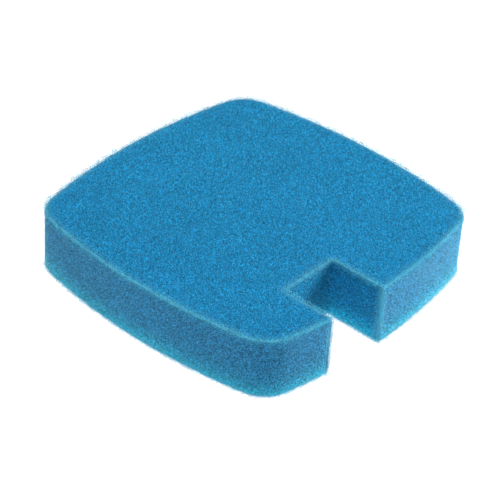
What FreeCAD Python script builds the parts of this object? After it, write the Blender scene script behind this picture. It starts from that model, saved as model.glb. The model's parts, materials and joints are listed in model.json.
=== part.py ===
"""Sponge filter pad: one piece of open-cell foam, cut from sheet.

Seen from above it is a square with gently bowed sides and rounded corners. One
notch, cut right through the thickness, lets the pad pass a riser or a pipe.

The row frame has its origin at the middle of the underside, +Z up through the
thickness, and -Y towards the side that has the notch.
"""
import FreeCAD, Part
import math
import os

# Driving dimensions, in millimetres
WIDTH = 200.0            # across the middle of two opposite sides, the same both ways
THICKNESS = 40.0         # of the foam sheet
SIDE_RADIUS = 375.0      # each side bows outward along this arc
CORNER_RADIUS = 22.0     # tangent to the two bowed sides it joins
NOTCH_WIDTH = 40.0       # along the side
NOTCH_DEPTH = 37.5       # in from the middle of the bowed side
NOTCH_CENTRE_X = -25.0   # the notch is off centre
CUT_MARGIN = 5.0         # how far the cutter runs past the foam

HALF = WIDTH / 2
UP = FreeCAD.Vector(0, 0, 1)


def point(x, y):
    return FreeCAD.Vector(x, y, 0)


def turned(vector, quarter_turns):
    """The vector turned about +Z by whole quarter turns."""
    return FreeCAD.Rotation(UP, 90 * quarter_turns).multVec(vector)


def corner_centre_offset():
    """How far a corner arc's centre is from the middle, along X and along Y alike.

    The corner arc touches both side arcs from inside, so its centre is
    SIDE_RADIUS - CORNER_RADIUS away from each side arc's own centre.
    """
    side_centre = SIDE_RADIUS - HALF
    reach = SIDE_RADIUS - CORNER_RADIUS
    return (math.sqrt(2 * reach ** 2 - side_centre ** 2) - side_centre) / 2


def outline():
    """The closed outline of four bowed sides and four corners."""
    side_centre = point(0, SIDE_RADIUS - HALF)
    offset = corner_centre_offset()
    corner_centre = point(offset, -offset)
    to_touch = (corner_centre - side_centre).normalize()
    side_end = side_centre + to_touch * SIDE_RADIUS
    side_start = point(-side_end.x, side_end.y)
    corner_middle = corner_centre + point(1, -1).normalize() * CORNER_RADIUS
    edges = []
    for turn in range(4):
        side = [turned(p, turn) for p in (side_start, point(0, -HALF), side_end)]
        corner_end = turned(side_start, turn + 1)
        edges.append(Part.Arc(*side).toShape())
        edges.append(Part.Arc(side[2], turned(corner_middle, turn), corner_end).toShape())
    return Part.Wire(edges)


def notch_cutter():
    """A block that leaves the notch, past the side and past both faces."""
    low_x = NOTCH_CENTRE_X - NOTCH_WIDTH / 2
    low_y = -HALF - CUT_MARGIN
    corner = FreeCAD.Vector(low_x, low_y, -CUT_MARGIN)
    return Part.makeBox(NOTCH_WIDTH, NOTCH_DEPTH + CUT_MARGIN, THICKNESS + 2 * CUT_MARGIN, corner)


def foam_pad():
    slab = Part.Face(outline()).extrude(UP * THICKNESS)
    return slab.cut(notch_cutter())


os.makedirs("parts", exist_ok=True)
pad = foam_pad()
pad.exportStep("parts/foam_pad.step")
print("foam_pad", "valid", pad.isValid(), "solids", len(pad.Solids), "volume", round(pad.Volume))
print("box", pad.BoundBox)
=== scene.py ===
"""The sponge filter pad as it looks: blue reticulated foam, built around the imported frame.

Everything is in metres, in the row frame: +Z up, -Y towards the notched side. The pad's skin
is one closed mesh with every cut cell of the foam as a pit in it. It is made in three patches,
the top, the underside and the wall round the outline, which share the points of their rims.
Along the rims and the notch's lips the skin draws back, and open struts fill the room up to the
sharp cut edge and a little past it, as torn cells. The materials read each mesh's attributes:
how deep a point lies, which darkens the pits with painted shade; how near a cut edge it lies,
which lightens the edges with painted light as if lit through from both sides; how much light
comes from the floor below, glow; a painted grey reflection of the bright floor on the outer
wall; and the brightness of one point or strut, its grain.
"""
import json
import math

import bpy
import numpy as np
from mathutils import Matrix, Vector, geometry, kdtree


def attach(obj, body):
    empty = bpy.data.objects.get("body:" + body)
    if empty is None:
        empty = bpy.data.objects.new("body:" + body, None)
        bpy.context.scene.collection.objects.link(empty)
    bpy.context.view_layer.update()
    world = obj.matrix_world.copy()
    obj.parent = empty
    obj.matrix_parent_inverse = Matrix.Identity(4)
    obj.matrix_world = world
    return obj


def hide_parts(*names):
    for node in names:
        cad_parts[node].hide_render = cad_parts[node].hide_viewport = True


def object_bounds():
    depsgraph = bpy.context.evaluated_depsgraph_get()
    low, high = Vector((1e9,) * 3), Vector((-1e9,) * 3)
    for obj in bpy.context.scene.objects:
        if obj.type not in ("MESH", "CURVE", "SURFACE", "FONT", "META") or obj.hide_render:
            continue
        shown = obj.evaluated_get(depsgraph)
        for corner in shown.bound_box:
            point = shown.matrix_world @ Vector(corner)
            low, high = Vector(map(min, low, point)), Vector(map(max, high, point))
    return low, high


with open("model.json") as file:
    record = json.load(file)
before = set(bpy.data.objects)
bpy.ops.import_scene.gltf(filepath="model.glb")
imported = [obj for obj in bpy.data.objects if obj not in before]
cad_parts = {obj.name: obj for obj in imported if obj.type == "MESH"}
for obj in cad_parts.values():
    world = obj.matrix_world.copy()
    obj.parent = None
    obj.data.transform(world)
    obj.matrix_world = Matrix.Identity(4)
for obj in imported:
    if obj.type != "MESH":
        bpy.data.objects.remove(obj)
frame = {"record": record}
cad_low, cad_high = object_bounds()

MM = 0.001
SEED = 419

# The pad's outline, which the design cuts as arcs and a square notch
SIDE_RADIUS = 375 * MM
CORNER_RADIUS = 22 * MM
OUTLINE_STEP = 0.1 * MM
CORNER_SOFTNESS = 0.7 * MM      # how far a knife-cut corner rounds over
TURN_STEPS = 4                  # steps before and after a point between which its turn is measured
SHARP_TURN = 0.15               # sine of the turn that only the notch's two lips make
FAR = 8 * MM                    # from the outline, where its exact distance no longer matters
MAP_STEP = 1 * MM               # of the coarse map of depths
TRIANGLE_TOLERANCE = 1e-9

# The foam's closed skin
CELL = 1.2 * MM                 # from the middle of one cut cell to the next
CELL_JITTER = 0.30              # share of CELL that a cell's middle strays
CELL_MARGIN = 2 * CELL          # how far past a patch's border its cells are laid out
POINT_GAP = CELL / 12           # points closer together than about this become one
RIM_STEP = 0.40 * MM            # between the points along a rim
RIM_BAND = 1.2 * MM             # over which the skin turns from a face to the wall, and its painted edge light fades
RIM_CLEARANCE = 0.22 * MM       # between a rim and the nearest other point
MOUTH = 0.70                    # the size of a cell's inner mouth beside the cell itself
NODE_HEIGHT = (-0.30 * MM, 0.20 * MM)    # of the nodes, where struts meet, out of the flat side
MOUTH_HEIGHT = (-0.75 * MM, -0.35 * MM)  # of the cells' mouths
FLOOR_HEIGHT = (-1.1 * MM, -0.6 * MM)    # of the cells' floors
RIM_HEIGHT = (-0.7 * MM, 0.2 * MM)       # of the points on a rim or on the wall's seam
RIM_PIT = 0.2625 * MM           # the deepest pit on a rim or lip
PIT_SLOPE = 0.75                # how fast pits may get deeper away from it
DEEPEST = 1.0 * MM              # a pit of this depth gets the darkest painted shade
ROUNDING = (2.8 * MM, 3.6 * MM)  # of the skin's lower and upper rims, inside the struts that fill them up
LIP_ROUNDING = 2.6 * MM         # of the notch's two upright lips
LIGHT_REACH = 5.0 * MM          # how far up the wall the light from below shines through
BAKE_GAP = 2 * CELL             # between the patches of the flat map

# Cut strut ends that stand out of the skin
STRUT_ENDS = 24000
END_LENGTH = (0.2 * MM, 0.7 * MM)
END_RADIUS = 0.10 * MM
TIP_RADIUS = END_RADIUS / 3
END_SINKING = 2 * END_RADIUS    # how deep its root stands in the skin
END_SPREAD = 0.9                # how far it may lean, beside standing straight out
# share of painted edge light on the strut ends, as if lit through
END_PAINTED_LIGHT = 0.3
NEAR_FLOOR = 2 * MM             # below this height an end may not point down,
FLOOR_LEAN = 0.3                # and rises only by this share

# Open cells along the rims, as struts of cells in the Kelvin pattern
CELL_BLOCK = (1.6 * MM, 1.9 * MM)  # the cube that holds two such cells, at the lower and the upper rim
LIP_BLOCK = 1.35 * MM
NODE_JITTER = 0.09              # share of the block
STRUT_RADIUS = 0.09 * MM
STRUT_THICKNESS = (0.8, 1.2)    # of one strut beside another
STRUT_OVERLAP = 0.5             # of the radius that a strut reaches back past its node
EMBEDDING = 0.2 * MM            # how far the struts reach into the skin
TEAR = (-0.7 * MM, 1.6 * MM)    # how far out of the pad's flat sides the torn cells of an edge reach
HOLD_ROUNDS = 10                # how often the hold of the inside passes on, out along the torn cells
CUT_SHARE = (0.3, 0.9)          # of a strut that is left where it is cut
PAINTED_LIGHT_BAND = (2.4 * MM, 1.0 * MM)  # how deep the struts with painted edge light lie, at the lower rim and at the others

# The foam's colours, and how much of each one there is
STRUT_BLUE = (0.009, 0.340, 0.670, 1)   # of what stands level with the flat side or out of it
PAINTED_SHADE_BLUE = (0.001, 0.085, 0.255, 1)     # painted shade of the deepest pits
PAINTED_EDGE_LIGHT = (0.110, 0.700, 1.000, 1)     # painted light of the cut edges, as if lit through from both sides
PAINTED_EDGE_LIGHT_SHARE = 2.0            # share of that painted light on an edge before the grain; more than 1 counts as 1
GLOW_BLUE = (0.020, 0.750, 1.000, 1)    # of foam that the floor lights from below
GLOWING = 0.9                   # its share at the foot of the wall
PAINTED_REFLECTION_GREY = (0.270, 0.450, 0.520, 1)    # painted grey reflection of the bright floor over the outer wall
PAINTED_REFLECTION_SHARE = 0.075                    # its share
GRAIN = 0.55                    # how far the brightness of one point strays from another's
GRAIN_LIMITS = (0.25, 2.2)
PATCHES = 25                    # wide patches of lighter and darker foam, to the metre
PATCH_DETAIL = 2                # layers of finer noise in them
PATCH_SPREAD = 0.25             # between the darkest and the lightest patch

# The foam's finish
FOAM_ROUGHNESS = 0.6
FOAM_GLOSS = 0.1                # level of its reflections
SHEEN = 0.03
SHEEN_ROUGHNESS = 0.5
SCATTERING = 0.7                # share of the light that goes into the foam and comes out nearby
SKIN_SCATTER_REACH = 1.5 * MM
STRUT_SCATTER_REACH = 0.2 * MM

# The stage
FLOOR_SIZE = 6.0
FLOOR_DROP = 0.1 * MM           # below the pad's underside
FLOOR_GLOW = 0.97               # light of its own, so that it comes out nearly white
FLOOR_GREY = 0.25               # how much of the lamps' light it gives back
FLOOR_ROUGHNESS = 0.9
WORLD_LIGHT = 0.02              # of the background as a light; to the camera it is 1
LAMP_DISTANCE = 1.5
LAMP_SIZE = 0.5
SENSOR_WIDTH = 36               # of the camera, in millimetres like the lens

rng = np.random.default_rng(SEED)


# ---------------------------------------------------------------- the outline
def arc_points(centre, radius, start, end):
    """Points along an arc from angle start to angle end, without the last one."""
    count = max(2, round(abs(end - start) * radius / OUTLINE_STEP))
    angles = start + (end - start) * np.arange(count) / count
    return np.c_[centre[0] + radius * np.cos(angles), centre[1] + radius * np.sin(angles)]


def line_points(a, b):
    """Points along a straight line from a to b, without the last one."""
    a, b = np.array(a, float), np.array(b, float)
    count = max(2, round(np.linalg.norm(b - a) / OUTLINE_STEP))
    return a + (b - a) * (np.arange(count) / count)[:, None]


def soften(loop, reach):
    """A closed loop's points, each the mean of its neighbours within reach."""
    n = max(1, round(reach / OUTLINE_STEP))
    return sum(np.roll(loop, k, axis=0) for k in range(-n, n + 1)) / (2 * n + 1)


class Outline:
    """The pad's outline seen from above, counter-clockwise from the notch's inner left corner."""

    def __init__(self, half, left, right, back):
        # Each side is an arc round a centre beyond the opposite side, at the length side from the
        # pad's middle. It swings so far either way, up to a corner whose own arc has its centre at
        # the inset along both axes.
        side = SIDE_RADIUS - half
        reach = SIDE_RADIUS - CORNER_RADIUS
        inset = (math.sqrt(2 * reach ** 2 - side ** 2) - side) / 2
        swing = math.atan2(inset, side + inset)
        # The angles and heights at which the notch's walls meet the notched side's arc
        mouth = [-math.acos(x / SIDE_RADIUS) for x in (left, right)]
        lip = [side + SIDE_RADIUS * math.sin(a) for a in mouth]
        quarter = math.pi / 2
        runs = [line_points((left, back), (right, back)), line_points((right, back), (right, lip[1]))]
        runs.append(arc_points((0, side), SIDE_RADIUS, mouth[1], swing - quarter))
        for turn in range(4):
            facing = quarter * turn
            c, s = math.cos(facing), math.sin(facing)
            corner = (inset * c + inset * s, inset * s - inset * c)
            runs.append(arc_points(corner, CORNER_RADIUS, facing - quarter + swing, facing - swing))
            if turn < 3:
                centre = (-side * c, -side * s)
                runs.append(arc_points(centre, SIDE_RADIUS, facing - swing, facing + swing))
        runs.append(arc_points((0, side), SIDE_RADIUS, -quarter - swing, mouth[0]))
        runs.append(line_points((left, lip[0]), (left, back)))
        loop = soften(np.concatenate(runs), CORNER_SOFTNESS)
        along = soften(np.roll(loop, -1, axis=0) - np.roll(loop, 1, axis=0), CORNER_SOFTNESS)
        along /= np.linalg.norm(along, axis=1)[:, None]
        steps = np.linalg.norm(np.roll(loop, -1, axis=0) - loop, axis=1)
        self.at = np.r_[0, np.cumsum(steps)]
        self.length = self.at[-1]
        self.loop = np.r_[loop, loop[:1]]
        self.normals = np.c_[along[:, 1], -along[:, 0]]
        self.normals = np.r_[self.normals, self.normals[:1]]
        before, after = np.roll(along, TURN_STEPS, axis=0), np.roll(along, -TURN_STEPS, axis=0)
        turn_left = before[:, 0] * after[:, 1] - before[:, 1] * after[:, 0]
        # The outline turns sharply outwards at the notch's two lips only.
        self.lips = self.at[:-1][turn_left > SHARP_TURN]
        self.tree = kdtree.KDTree(len(loop))
        for i, (x, y) in enumerate(loop.tolist()):
            self.tree.insert((x, y, 0), i)
        self.tree.balance()
        # A coarse map of the depth, so that points far from the outline need no search
        self.map_low = self.loop.min(axis=0) - 2 * FAR
        count = np.ceil((self.loop.max(axis=0) + 2 * FAR - self.map_low) / MAP_STEP).astype(int)
        grid = np.stack(np.meshgrid(*(np.arange(n) for n in count), indexing="ij"), axis=-1)
        self.map = self.search(self.map_low + (grid.reshape(-1, 2) + 0.5) * MAP_STEP)[0].reshape(count)

    def place(self, u):
        """The points at lengths u along the outline."""
        return np.c_[np.interp(u, self.at, self.loop[:, 0]), np.interp(u, self.at, self.loop[:, 1])]

    def normal(self, u):
        """The outward directions at lengths u along the outline."""
        n = np.c_[np.interp(u, self.at, self.normals[:, 0]), np.interp(u, self.at, self.normals[:, 1])]
        return n / np.linalg.norm(n, axis=1)[:, None]

    def nearest(self, points):
        """For each point, how deep inside the outline it is, and the outline's normal there.

        A point further away than FAR gets a rough depth and no normal.
        """
        square = ((points - self.map_low) / MAP_STEP).astype(int)
        square = np.clip(square, 0, np.array(self.map.shape) - 1)
        depth = self.map[square[:, 0], square[:, 1]]
        normals = np.zeros((len(points), 2))
        close = np.flatnonzero(np.abs(depth) < FAR)
        depth[close], normals[close] = self.search(points[close])
        return depth, normals

    def search(self, points):
        """The same, exactly, for every point."""
        found = np.array([self.tree.find((x, y, 0))[1] for x, y in points.tolist()])
        normals = self.normals[found]
        away = points - self.loop[found]
        inside = np.sum(away * normals, axis=1) < 0
        distance = np.linalg.norm(away, axis=1)
        return np.where(inside, distance, -distance), normals


# ------------------------------------------------------------------- the foam
def between(span, count):
    """So many random numbers from a span."""
    return rng.uniform(span[0], span[1], count)


def triangulate(points, loop_count=0):
    """Delaunay triangles of plane points. The first loop_count points are the border of the region."""
    border = [(i, (i + 1) % loop_count) for i in range(loop_count)]
    kind = 1 if loop_count else 0
    vectors = [Vector(p) for p in points.tolist()]
    found = geometry.delaunay_2d_cdt(vectors, border, [], kind, TRIANGLE_TOLERANCE, True)
    if len(found[0]) != len(points):
        raise ValueError("two foam points fell together")
    origin = np.array([o[0] for o in found[3]])
    return origin[np.array(found[2])]


def circumcentres(p):
    """The middles of the circles through triangles given as an array of n by 3 by 2."""
    a, b, c = p[:, 0], p[:, 1] - p[:, 0], p[:, 2] - p[:, 0]
    d = 2 * (b[:, 0] * c[:, 1] - b[:, 1] * c[:, 0])
    bb, cc = np.sum(b * b, axis=1), np.sum(c * c, axis=1)
    x = (c[:, 1] * bb - b[:, 1] * cc) / d
    y = (b[:, 0] * cc - c[:, 0] * bb) / d
    return a + np.c_[x, y]


def cut_cells(low, high):
    """Plane points with heights for the cut cells that fill a rectangle.

    The cells are the Voronoi cells of jittered middles. Their corners are the foam's nodes, and the
    ridges between two nodes its struts. Inside each cell lie its mouth, a ring, and its floor.
    """
    row = CELL * math.sqrt(3) / 2
    xs, ys = np.arange(low[0], high[0], CELL), np.arange(low[1], high[1], row)
    grid = np.stack(np.meshgrid(xs, ys), axis=-1)
    grid[1::2, :, 0] += CELL / 2
    middles = grid.reshape(-1, 2)
    angle, reach = rng.uniform(0, 2 * math.pi, len(middles)), CELL * CELL_JITTER
    reach = reach * np.sqrt(rng.random(len(middles)))
    middles = middles + np.c_[reach * np.cos(angle), reach * np.sin(angle)]
    triangles = triangulate(middles)
    nodes = circumcentres(middles[triangles])
    mouths = np.concatenate([middles[triangles[:, k]] * (1 - MOUTH) + nodes * MOUTH for k in range(3)])
    points = np.concatenate([nodes, mouths, middles])
    heights = np.concatenate([
        between(NODE_HEIGHT, len(nodes)),
        between(MOUTH_HEIGHT, len(mouths)),
        between(FLOOR_HEIGHT, len(middles)),
    ])
    return points, heights


def thinned(points, heights, spacing):
    """The points without those that share a small square of the plane with an earlier one."""
    squares = np.floor(points / spacing).astype(np.int64)
    _, first = np.unique(squares, axis=0, return_index=True)
    first.sort()
    return points[first], heights[first]


def turn_weight(distance):
    """1 on a rim, falling smoothly to 0 where the skin has its own direction."""
    t = np.clip(1 - distance / RIM_BAND, 0, 1)
    return t * t * (3 - 2 * t)


def retreat(distance, radius):
    """How far the skin draws back from a sharp rim at a distance from it, which rounds the rim."""
    t = np.clip(1 - distance / radius, 0, 1)
    return radius * (math.sqrt(2) - 1) * t * t


def unit(v):
    """The directions of the rows of v."""
    return v / np.linalg.norm(v, axis=1)[:, None]


class Skin:
    """The pad's closed skin, gathered patch by patch."""

    def __init__(self, outline, thickness):
        self.outline, self.thickness = outline, thickness
        count = round(outline.length / RIM_STEP)
        self.rim_u = (np.arange(count) + 0.5) * outline.length / count
        self.base, self.normal, self.height, self.distance, self.outer = [], [], [], [], []
        self.faces, self.uvs, self.count = [], [], 0
        self.rims = [self.add_rim(level) for level in (0, 1)]

    def to_lip(self, u):
        """How far along the outline it is to the nearer of the notch's lips."""
        # A lip is a run of close points, of which every fourth is enough.
        return np.abs(u[:, None] - self.outline.lips[None, ::4]).min(axis=1)

    def add(self, base, normal, height, distance, back, outer=0):
        """Adds points, drawn back by a length each, and returns their indices.

        Distance is that to a rim or lip, where a pit is shallower. Outer is 1 on the outer wall.
        """
        lowest = -(RIM_PIT + PIT_SLOPE * distance)
        self.base.append(base - unit(normal) * back[:, None])
        self.normal.append(unit(normal))
        self.height.append(np.maximum(height, lowest))
        self.distance.append(distance)
        self.outer.append(np.zeros(len(base)) + outer)
        indices = self.count + np.arange(len(base))
        self.count += len(base)
        return indices

    def add_rim(self, level):
        """The points of the lower rim, level 0, or of the upper one, level 1."""
        place, normal = self.outline.place(self.rim_u), self.outline.normal(self.rim_u)
        up = np.full(len(place), level * 2 - 1.0)
        base = np.c_[place, np.full(len(place), level * self.thickness)]
        heights = between(RIM_HEIGHT, len(place))
        back = np.maximum(retreat(0, ROUNDING[level]), retreat(self.to_lip(self.rim_u), LIP_ROUNDING))
        return self.add(base, np.c_[normal, up], heights, np.zeros(len(place)), back)

    def add_face(self, level):
        """The underside, level 0, or the top, level 1."""
        place = self.outline.place(self.rim_u)
        points, heights = cut_cells(place.min(axis=0) - CELL_MARGIN, place.max(axis=0) + CELL_MARGIN)
        points, heights = thinned(points, heights, POINT_GAP)
        distance, normals = self.outline.nearest(points)
        kept = distance > RIM_CLEARANCE
        points, heights, distance, normals = points[kept], heights[kept], distance[kept], normals[kept]
        up = level * 2 - 1.0
        base = np.c_[points, np.full(len(points), level * self.thickness)]
        facing = np.c_[normals * turn_weight(distance)[:, None], np.full(len(points), up)]
        own = self.add(base, facing, heights, distance, retreat(distance, ROUNDING[level]))
        flat = np.concatenate([place, points])
        faces = triangulate(flat, len(place))
        # Triangles between rim points alone may fill the notch, which is outside.
        bridging = np.flatnonzero(np.all(faces < len(place), axis=1))
        outside = self.outline.nearest(flat[faces[bridging]].mean(axis=1))[0] < 0
        faces = np.delete(faces, bridging[outside], axis=0)
        if level == 0:
            faces = faces[:, ::-1]
        self.faces.append(np.r_[self.rims[level], own][faces])
        self.uvs.append((level, flat[faces]))

    def add_wall(self):
        """The wall round the outline, unrolled: u runs along the outline and v up the thickness."""
        length, top = self.outline.length, self.thickness
        low, high = (-CELL_MARGIN, -CELL_MARGIN), (length + CELL_MARGIN, top + CELL_MARGIN)
        points, heights = cut_cells(low, high)
        points, heights = thinned(points, heights, POINT_GAP)
        u, v = points[:, 0], points[:, 1]
        kept = (u > RIM_CLEARANCE) & (u < length - RIM_CLEARANCE)
        kept &= (v > RIM_CLEARANCE) & (v < top - RIM_CLEARANCE)
        points, heights = points[kept], heights[kept]
        seam_count = round(top / RIM_STEP) - 1
        seam_v = (np.arange(seam_count) + 1) * top / (seam_count + 1)
        seam_heights = between(RIM_HEIGHT, seam_count)
        own = self.add_wall_points(points, heights)
        seam = self.add_wall_points(np.c_[np.zeros(seam_count), seam_v], seam_heights)
        lower = np.c_[self.rim_u, np.zeros(len(self.rim_u))]
        upper = np.c_[self.rim_u, np.full(len(self.rim_u), top)][::-1]
        right = np.c_[np.full(seam_count, length), seam_v]
        left = np.c_[np.zeros(seam_count), seam_v][::-1]
        flat = np.concatenate([lower, right, upper, left, points])
        border = 2 * (len(self.rim_u) + seam_count)
        indices = np.r_[self.rims[0], seam, self.rims[1][::-1], seam[::-1], own]
        faces = triangulate(flat, border)
        self.faces.append(indices[faces])
        self.uvs.append((2, flat[faces]))
        # The two ends of each rim meet the seam in one small triangle.
        low_end = [self.rims[0][-1], self.rims[0][0], seam[0]]
        high_end = [self.rims[1][0], self.rims[1][-1], seam[-1]]
        self.faces.append(np.array([low_end, high_end]))
        before, after = self.rim_u[-1], length + self.rim_u[0]
        low_flat = [(before, 0), (after, 0), (length, seam_v[0])]
        high_flat = [(after, top), (before, top), (length, seam_v[-1])]
        self.uvs.append((2, np.array([low_flat, high_flat])))

    def add_wall_points(self, points, heights):
        """Adds points of the unrolled wall and returns their indices."""
        u, v = points[:, 0], points[:, 1]
        to_rim = np.minimum(v, self.thickness - v)
        lean = turn_weight(to_rim) * np.where(v > self.thickness / 2, 1.0, -1.0)
        base = np.c_[self.outline.place(u), v]
        to_lip = self.to_lip(u)
        back = np.maximum(retreat(v, ROUNDING[0]), retreat(self.thickness - v, ROUNDING[1]))
        back = np.maximum(back, retreat(to_lip, LIP_ROUNDING))
        outside = (u > self.outline.lips.min()) & (u < self.outline.lips.max())
        facing = np.c_[self.outline.normal(u), lean]
        return self.add(base, facing, heights, np.minimum(to_rim, to_lip), back, outside)

    def atlas(self):
        """Each triangle's place in a flat map: the two faces side by side, and the wall in two rows."""
        size = cad_high[0] - cad_low[0] + BAKE_GAP
        half_wall = self.outline.length / 2
        placed = []
        for kind, flat in self.uvs:
            flat = np.array(flat)
            if kind < 2:
                flat += (size / 2 + kind * size, size / 2)
            else:
                row = (flat[:, :, 0].min(axis=1) > half_wall)[:, None]
                flat[:, :, 0] += BAKE_GAP / 2 - row * half_wall
                flat[:, :, 1] += size + BAKE_GAP / 2 + row * (self.thickness + BAKE_GAP)
            placed.append(flat)
        width = max(2 * size, half_wall + 2 * BAKE_GAP)
        height = size + 2 * (self.thickness + BAKE_GAP)
        return np.concatenate(placed) / (width, height)

    def finished(self):
        """Points, faces, flat map, each point's outward normal and height, and the attributes."""
        base, normal = np.concatenate(self.base), np.concatenate(self.normal)
        height = np.concatenate(self.height)
        points = base + normal * height[:, None]
        points[:, 2] = np.maximum(points[:, 2], 0)
        attributes = {
            # painted shade, darker the deeper a point lies in a pit
            "pit_painted_shade": np.clip(-height / DEEPEST, 0, 1),
            # painted light, lighter the nearer a point lies to a cut edge
            "edge_painted_light": np.exp(-np.concatenate(self.distance) / RIM_BAND),
            "glow": np.exp(-base[:, 2] / LIGHT_REACH),
            # painted reflection of the bright floor, on the outer wall only
            "painted_reflection": np.concatenate(self.outer) * PAINTED_REFLECTION_SHARE,
        }
        return points, np.concatenate(self.faces), self.atlas(), normal, height, attributes


def mesh_object(name, points, faces, attributes, uvs=None):
    """A mesh object in the scene from arrays, with an attribute of each name on its points."""
    mesh = bpy.data.meshes.new(name)
    mesh.vertices.add(len(points))
    mesh.vertices.foreach_set("co", points.astype(np.float32).ravel())
    mesh.loops.add(faces.size)
    mesh.loops.foreach_set("vertex_index", faces.astype(np.int32).ravel())
    mesh.polygons.add(len(faces))
    mesh.polygons.foreach_set("loop_start", np.arange(0, faces.size, 3, dtype=np.int32))
    for key, values in attributes.items():
        mesh.attributes.new(key, "FLOAT", "POINT").data.foreach_set("value", values.astype(np.float32))
    if uvs is not None:
        layer = mesh.uv_layers.new(name="OFBake")
        layer.data.foreach_set("uv", uvs.astype(np.float32).ravel())
    mesh.update(calc_edges=True)
    mesh.validate()
    piece = bpy.data.objects.new(name, mesh)
    bpy.context.scene.collection.objects.link(piece)
    return piece


def grains(count):
    """Factors on the brightness of so many points or struts."""
    return np.clip(rng.lognormal(-GRAIN ** 2 / 2, GRAIN, count), *GRAIN_LIMITS)


def foam_skin(skin_parts):
    """The closed skin as an object."""
    points, faces, uvs, _, _, attributes = skin_parts
    attributes = {**attributes, "grain": grains(len(points))}
    piece = mesh_object("foam_skin", points, faces, attributes, uvs)
    piece.data.shade_smooth()
    return piece


def prisms(start, end, start_radius, end_radius):
    """Points and faces of closed three-sided prisms from start to end, each turned its own way."""
    count = len(start)
    way = unit(end - start)
    side = unit(np.cross(way, rng.normal(size=(count, 3))))
    other = np.cross(way, side)
    points = []
    for place, radius in ((start, start_radius), (end, end_radius)):
        for k in range(3):
            turn = 2 * math.pi * k / 3
            points.append(place + radius * (side * math.cos(turn) + other * math.sin(turn)))
    points = np.stack(points, axis=1).reshape(-1, 3)
    pattern = [[0, 2, 1], [3, 4, 5]]
    for k in range(3):
        after = (k + 1) % 3
        pattern += [[k, after, after + 3], [k, after + 3, k + 3]]
    faces = (6 * np.arange(count)[:, None, None] + np.array(pattern)).reshape(-1, 3)
    return points, faces


def strut_mesh(name, start, end, start_radius, end_radius, painted_light_share):
    """An object of struts, none below the floor, each with a share of painted edge light and a grain of
    its own.
    """
    points, faces = prisms(start, end, start_radius, end_radius)
    points[:, 2] = np.maximum(points[:, 2], 0)
    attributes = {"edge_painted_light": np.repeat(painted_light_share, 6), "grain": np.repeat(grains(len(start)), 6)}
    attributes.update({key: np.zeros(len(points)) for key in ("pit_painted_shade", "glow", "painted_reflection")})
    return mesh_object(name, points, faces, attributes)


def strut_ends(skin_parts):
    """Thin spikes that stand on the skin's high points."""
    points, _, _, normal, height, _ = skin_parts
    tops = np.flatnonzero(height > NODE_HEIGHT[0] / 2)
    chosen = rng.choice(tops, STRUT_ENDS, replace=False)
    out = normal[chosen]
    way = unit(out + END_SPREAD * unit(rng.normal(size=(STRUT_ENDS, 3))))
    low = points[chosen][:, 2] < NEAR_FLOOR
    way[low, 2] = np.abs(way[low, 2]) * FLOOR_LEAN
    root = points[chosen] - out * END_SINKING
    tip = points[chosen] + way * between(END_LENGTH, STRUT_ENDS)[:, None]
    painted_light_share = np.full(STRUT_ENDS, END_PAINTED_LIGHT)
    return strut_mesh("strut_ends", root, tip, END_RADIUS, TIP_RADIUS, painted_light_share)


def kelvin_nodes(low, high, block):
    """Nodes of Kelvin's foam between two corners, in quarters of a block.

    A node has one coordinate that divides by 4, one that divides by 2 only, and one odd one.
    """
    first = [math.floor(value / block * 4) for value in low]
    last = [math.ceil(value / block * 4) for value in high]
    spans = [np.arange(*span) for span in zip(first, last)]
    grid = np.stack(np.meshgrid(*spans, indexing="ij"), axis=-1).reshape(-1, 3)
    kinds = grid % 4
    kept = (kinds == 0).sum(axis=1) == 1
    kept &= (kinds == 2).sum(axis=1) == 1
    return grid[kept]


def depths(outline, thickness, points):
    """How deep points are below the wall and below the nearer face; below 0 outside."""
    side, _ = outline.nearest(points[:, :2])
    return side, np.minimum(points[:, 2], thickness - points[:, 2])


def lattice_pairs(quarters):
    """The pairs of nodes that a strut joins, as two rows of numbers.

    Such nodes lie one step apart along two of the three axes.
    """
    size = int(np.abs(quarters).max()) + 2
    width = 2 * size

    def key(place):
        """One number for each place, from coordinates that lie between -size and size."""
        x, y, z = (place + size).T
        return (x * width + y) * width + z

    keys = key(quarters)
    order = np.argsort(keys)
    starts, ends = [], []
    for step in ((1, 1, 0), (1, -1, 0), (1, 0, 1), (1, 0, -1), (0, 1, 1), (0, 1, -1)):
        sought = key(quarters + np.array(step))
        at = np.minimum(np.searchsorted(keys[order], sought), len(keys) - 1)
        other = order[at]
        found = np.flatnonzero(keys[other] == sought)
        starts.append(found)
        ends.append(other[found])
    return np.concatenate(starts), np.concatenate(ends)


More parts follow.
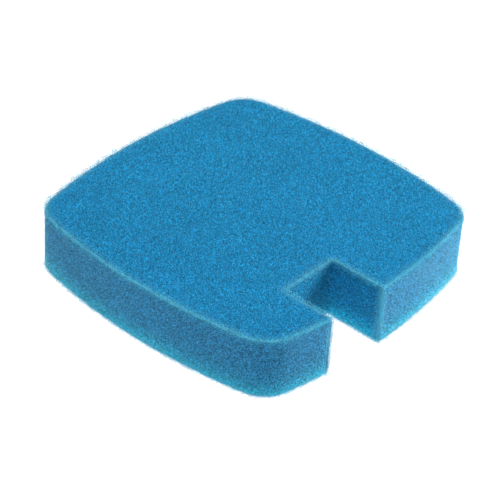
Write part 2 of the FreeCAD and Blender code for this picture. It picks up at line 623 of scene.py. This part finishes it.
def open_struts(name, outline, thickness, low, high, block, reach, painted_light_band, to_edge):
    """The struts between two corners that lie close to one of the pad's edges.

    The function to_edge takes side depths, face depths and points, and gives each point's distance
    to the edge, or infinity where no strut is wanted. The nearer the edge, the more raggedly the
    cells are torn.
    """
    quarters = kelvin_nodes(low, high, block)
    # Nodes a block or more away from where struts are wanted take no part.
    even = quarters * block / 4
    side, face = depths(outline, thickness, even)
    near = np.isfinite(to_edge(side - block, face - block, even))
    near &= np.minimum(side, face) > -block - TEAR[1]
    quarters, even = quarters[near], even[near]
    nodes = even + rng.normal(size=even.shape) * NODE_JITTER * block
    side, face = depths(outline, thickness, nodes)
    edge = to_edge(side, face, nodes)
    wished = np.isfinite(edge)
    edge = np.clip(edge, 0, reach)
    torn = between(TEAR, len(nodes)) * (1 - edge / reach)
    # The lower face rests on the floor, so its cells are cut flush.
    torn_face = np.where(nodes[:, 2] > thickness / 2, torn, 0)
    whole = np.minimum(side + torn, face + torn_face) > 0
    start, end = lattice_pairs(quarters)
    # The nodes deep inside are held, and from there the hold passes on along the struts.
    joined = whole & (np.minimum(side, face) > -TEAR[0])
    for _ in range(HOLD_ROUNDS):
        joined[end[joined[start]]] = True
        joined[start[joined[end]]] = True
        joined &= whole
    kept = (wished[start] | wished[end]) & (joined[start] | joined[end])
    start, end = start[kept], end[kept]
    # Each strut starts at a node that is held, and is cut short if its other node isn't.
    start, end = np.where(joined[start], start, end), np.where(joined[start], end, start)
    share = np.where(joined[end], 1, between(CUT_SHARE, len(end)))
    a = nodes[start]
    b = a + (nodes[end] - a) * share[:, None]
    thick = STRUT_RADIUS * between(STRUT_THICKNESS, len(a))[:, None]
    back = unit(b - a) * STRUT_RADIUS * STRUT_OVERLAP
    # painted edge light, stronger the nearer a strut lies to the edge
    painted_light_share = np.exp(-np.minimum(edge[start], edge[end]) / painted_light_band)
    return strut_mesh(name, a - back, b, thick, thick, painted_light_share)


def rim_struts(level, name, outline, thickness):
    """The open cells along the lower rim, level 0, or the upper one, level 1."""
    reach, block = ROUNDING[level], CELL_BLOCK[level]

    def to_rim(side, face, points):
        corner = np.maximum(reach - side, 0) ** 2 + np.maximum(reach - face, 0) ** 2
        inside = (side < reach) & (face < reach) & (corner > (reach - EMBEDDING) ** 2)
        return np.where(inside, np.maximum(side, face), np.inf)

    margin = 2 * block
    bottom, top = ((-margin, reach), (thickness - reach, thickness + margin))[level]
    low = (*(np.array(cad_low[:2]) - margin), bottom)
    high = (*(np.array(cad_high[:2]) + margin), top)
    painted_band = PAINTED_LIGHT_BAND[level]
    return open_struts(name, outline, thickness, low, high, block, reach, painted_band, to_rim)


def lip_struts(name, outline, thickness, u):
    """The open cells along one of the notch's upright lips, at length u along the outline."""
    reach, block = LIP_ROUNDING, LIP_BLOCK
    place = outline.place(np.array([u]))[0]

    def to_lip(side, face, points):
        # Near the faces the rims' own struts fill the lip.
        away = np.linalg.norm(points[:, :2] - place, axis=1)
        return np.where((away < reach) & (face > reach / 2), away, np.inf)

    low = (*(place - reach - block), 0)
    high = (*(place + reach + block), thickness)
    painted_band = PAINTED_LIGHT_BAND[1]
    return open_struts(name, outline, thickness, low, high, block, reach, painted_band, to_lip)


def edge_struts(outline, thickness):
    """The open cells along the lower rim, the upper rim and the notch's two upright lips."""
    return [
        rim_struts(0, "lower_rim", outline, thickness),
        rim_struts(1, "upper_rim", outline, thickness),
        lip_struts("left_lip", outline, thickness, outline.lips.max()),
        lip_struts("right_lip", outline, thickness, outline.lips.min()),
    ]


# -------------------------------------------------------------- the materials
def attribute(nodes, name):
    """The socket of a mesh attribute."""
    node = nodes.new("ShaderNodeAttribute")
    node.attribute_name = name
    return node.outputs["Fac"]


def feed(material, socket, value):
    """Links or sets a node's input, from a socket or a plain value."""
    if isinstance(value, bpy.types.NodeSocket):
        material.node_tree.links.new(value, socket)
    else:
        socket.default_value = value


def maths(material, operation, *values):
    """A Math node. Each input is a socket or a number."""
    node = material.node_tree.nodes.new("ShaderNodeMath")
    node.operation = operation
    for socket, value in zip(node.inputs, values):
        feed(material, socket, value)
    return node.outputs[0]


def mixed(material, factor, first, second, blend="MIX"):
    """A colour Mix node. Factor, first and second are sockets or values."""
    node = material.node_tree.nodes.new("ShaderNodeMix")
    node.data_type, node.blend_type = "RGBA", blend
    for key, value in (("Factor", factor), ("A", first), ("B", second)):
        feed(material, node.inputs[key], value)
    return node.outputs["Result"]


def noise(material, scale, detail):
    """Noise in the object's own space, scale repeats to the metre."""
    nodes, links = material.node_tree.nodes, material.node_tree.links
    place, node = nodes.new("ShaderNodeTexCoord"), nodes.new("ShaderNodeTexNoise")
    node.inputs["Scale"].default_value, node.inputs["Detail"].default_value = scale, detail
    links.new(place.outputs["Object"], node.inputs["Vector"])
    return node.outputs["Fac"]


def foam_material(name, scatter_reach):
    """The foam's blue, from the mesh's attributes, with painted shade in the pits, painted light on the
    cut edges and a painted reflection on the outer wall.
    """
    material = bpy.data.materials.new(name)
    material.use_nodes = True
    nodes, links = material.node_tree.nodes, material.node_tree.links
    shader = nodes["Principled BSDF"]
    names = ("pit_painted_shade", "edge_painted_light", "grain", "glow", "painted_reflection")
    pit_painted_shade, edge_painted_light, grain, glow, painted_reflection = (attribute(nodes, name) for name in names)
    # Painted shade: the deeper a pit lies, the darker its blue.
    depth = nodes.new("ShaderNodeValToRGB")
    depth.color_ramp.elements[0].color = STRUT_BLUE
    depth.color_ramp.elements[1].color = PAINTED_SHADE_BLUE
    links.new(pit_painted_shade, depth.inputs["Fac"])
    # From strut to strut the blue varies, and a little over wide patches too.
    wide = noise(material, PATCHES, PATCH_DETAIL)
    patches = maths(material, "MULTIPLY_ADD", wide, PATCH_SPREAD, 1 - PATCH_SPREAD / 2)
    shade = maths(material, "MULTIPLY", grain, patches)
    glowing = maths(material, "MULTIPLY", glow, GLOWING)
    lit = mixed(material, glowing, depth.outputs["Color"], GLOW_BLUE)
    # Painted reflection: the outer wall turns greyer, as if it mirrored the bright floor.
    shaded = mixed(material, 1.0, mixed(material, painted_reflection, lit, PAINTED_REFLECTION_GREY), shade, "MULTIPLY")
    # Painted light: near a cut edge the blue turns lighter, as if lit through from both sides.
    painted_lightening = maths(material, "MULTIPLY", grain, PAINTED_EDGE_LIGHT_SHARE)
    painted_edge_mask = maths(material, "MULTIPLY", edge_painted_light, painted_lightening)
    colour = mixed(material, maths(material, "MINIMUM", painted_edge_mask, 1.0), shaded, PAINTED_EDGE_LIGHT)
    links.new(colour, shader.inputs["Base Color"])
    shader.inputs["Roughness"].default_value = FOAM_ROUGHNESS
    shader.inputs["Specular IOR Level"].default_value = FOAM_GLOSS
    shader.inputs["Sheen Weight"].default_value = SHEEN
    shader.inputs["Sheen Roughness"].default_value = SHEEN_ROUGHNESS
    shader.inputs["Subsurface Weight"].default_value = SCATTERING
    shader.inputs["Subsurface Radius"].default_value = (1, 1, 1)
    shader.inputs["Subsurface Scale"].default_value = scatter_reach
    return material


# ------------------------------------------------------- the stage and camera
def plain_floor():
    """A floor that is lit like a studio's white sweep, and grey enough to take soft shadows."""
    bpy.ops.mesh.primitive_plane_add(size=FLOOR_SIZE, location=(0, 0, -FLOOR_DROP))
    floor = bpy.context.object
    floor.name = "floor"
    material = bpy.data.materials.new("floor")
    material.use_nodes = True
    shader = material.node_tree.nodes["Principled BSDF"]
    shader.inputs["Base Color"].default_value = (FLOOR_GREY, FLOOR_GREY, FLOOR_GREY, 1)
    shader.inputs["Roughness"].default_value = FLOOR_ROUGHNESS
    shader.inputs["Emission Color"].default_value = (1, 1, 1, 1)
    shader.inputs["Emission Strength"].default_value = FLOOR_GLOW
    floor.data.materials.append(material)


def direction(azimuth, elevation):
    """The direction from the pad towards a place. Azimuth 0 is on the notched side."""
    a, e = math.radians(azimuth), math.radians(elevation)
    return Vector((math.sin(a) * math.cos(e), -math.cos(a) * math.cos(e), math.sin(e)))


def soft_light(name, azimuth, elevation, watts):
    """A square lamp that looks at the origin."""
    away = direction(azimuth, elevation)
    light = bpy.data.lights.new(name, "AREA")
    light.size, light.energy = LAMP_SIZE, watts
    lamp = bpy.data.objects.new(name, light)
    lamp.location = away * LAMP_DISTANCE
    lamp.rotation_euler = away.to_track_quat("Z", "Y").to_euler()
    bpy.context.scene.collection.objects.link(lamp)


def studio_world():
    """White where the camera sees it, and dimmer as a light on the foam."""
    world = bpy.data.worlds.new("studio")
    world.use_nodes = True
    nodes, links = world.node_tree.nodes, world.node_tree.links
    path, span = nodes.new("ShaderNodeLightPath"), nodes.new("ShaderNodeMapRange")
    span.inputs["To Min"].default_value, span.inputs["To Max"].default_value = WORLD_LIGHT, 1.0
    links.new(path.outputs["Is Camera Ray"], span.inputs["Value"])
    background = nodes["Background"]
    background.inputs["Color"].default_value = (1, 1, 1, 1)
    links.new(span.outputs["Result"], background.inputs["Strength"])
    bpy.context.scene.world = world


def camera(azimuth, elevation, roll, target, distance, lens):
    """A camera at azimuth and elevation round the target, rolled about its line of sight."""
    back = direction(azimuth, elevation)
    level = math.radians(azimuth)
    right = Vector((math.cos(level), math.sin(level), 0))
    turn = Matrix.Rotation(math.radians(roll), 3, back)
    right, up = turn @ right, turn @ back.cross(right)
    data = bpy.data.cameras.new("camera")
    data.lens, data.sensor_width = lens, SENSOR_WIDTH
    eye = bpy.data.objects.new("camera", data)
    facing = Matrix((right, up, back)).transposed().to_4x4()
    eye.matrix_world = Matrix.Translation(Vector(target) + back * distance) @ facing
    bpy.context.scene.collection.objects.link(eye)
    bpy.context.scene.camera = eye


# ------------------------------------------------------------------- the pad
mounts = {m["name"]: m["pos_m"] for m in frame["record"]["mounts"]}
notch_left, notch_right = mounts["notch_left"][0], mounts["notch_right"][0]
notch_back = mounts["notch_back"][1]
pad_outline = Outline(cad_high[0], notch_left, notch_right, notch_back)
skin = Skin(pad_outline, cad_high[2])
skin.add_face(0)
skin.add_face(1)
skin.add_wall()
skin_parts = skin.finished()
pad = foam_skin(skin_parts)
struts = [strut_ends(skin_parts), *edge_struts(pad_outline, cad_high[2])]
pad.data.materials.append(foam_material("blue_foam", SKIN_SCATTER_REACH))
strut_foam = foam_material("blue_foam_struts", STRUT_SCATTER_REACH)
for piece in struts:
    piece.data.materials.append(strut_foam)
for piece in (pad, *struts):
    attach(piece, "root")
    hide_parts("foam_pad")

plain_floor()
studio_world()
soft_light("key", azimuth=45, elevation=30, watts=20)
soft_light("fill", azimuth=-75, elevation=60, watts=12)
soft_light("back", azimuth=150, elevation=35, watts=6)
aim = (0.0103, 0.0107, 0)
camera(azimuth=-50.52, elevation=36.25, roll=3.77, target=aim, distance=1.2890, lens=155.33)
bpy.context.scene.view_settings.view_transform = "Standard"
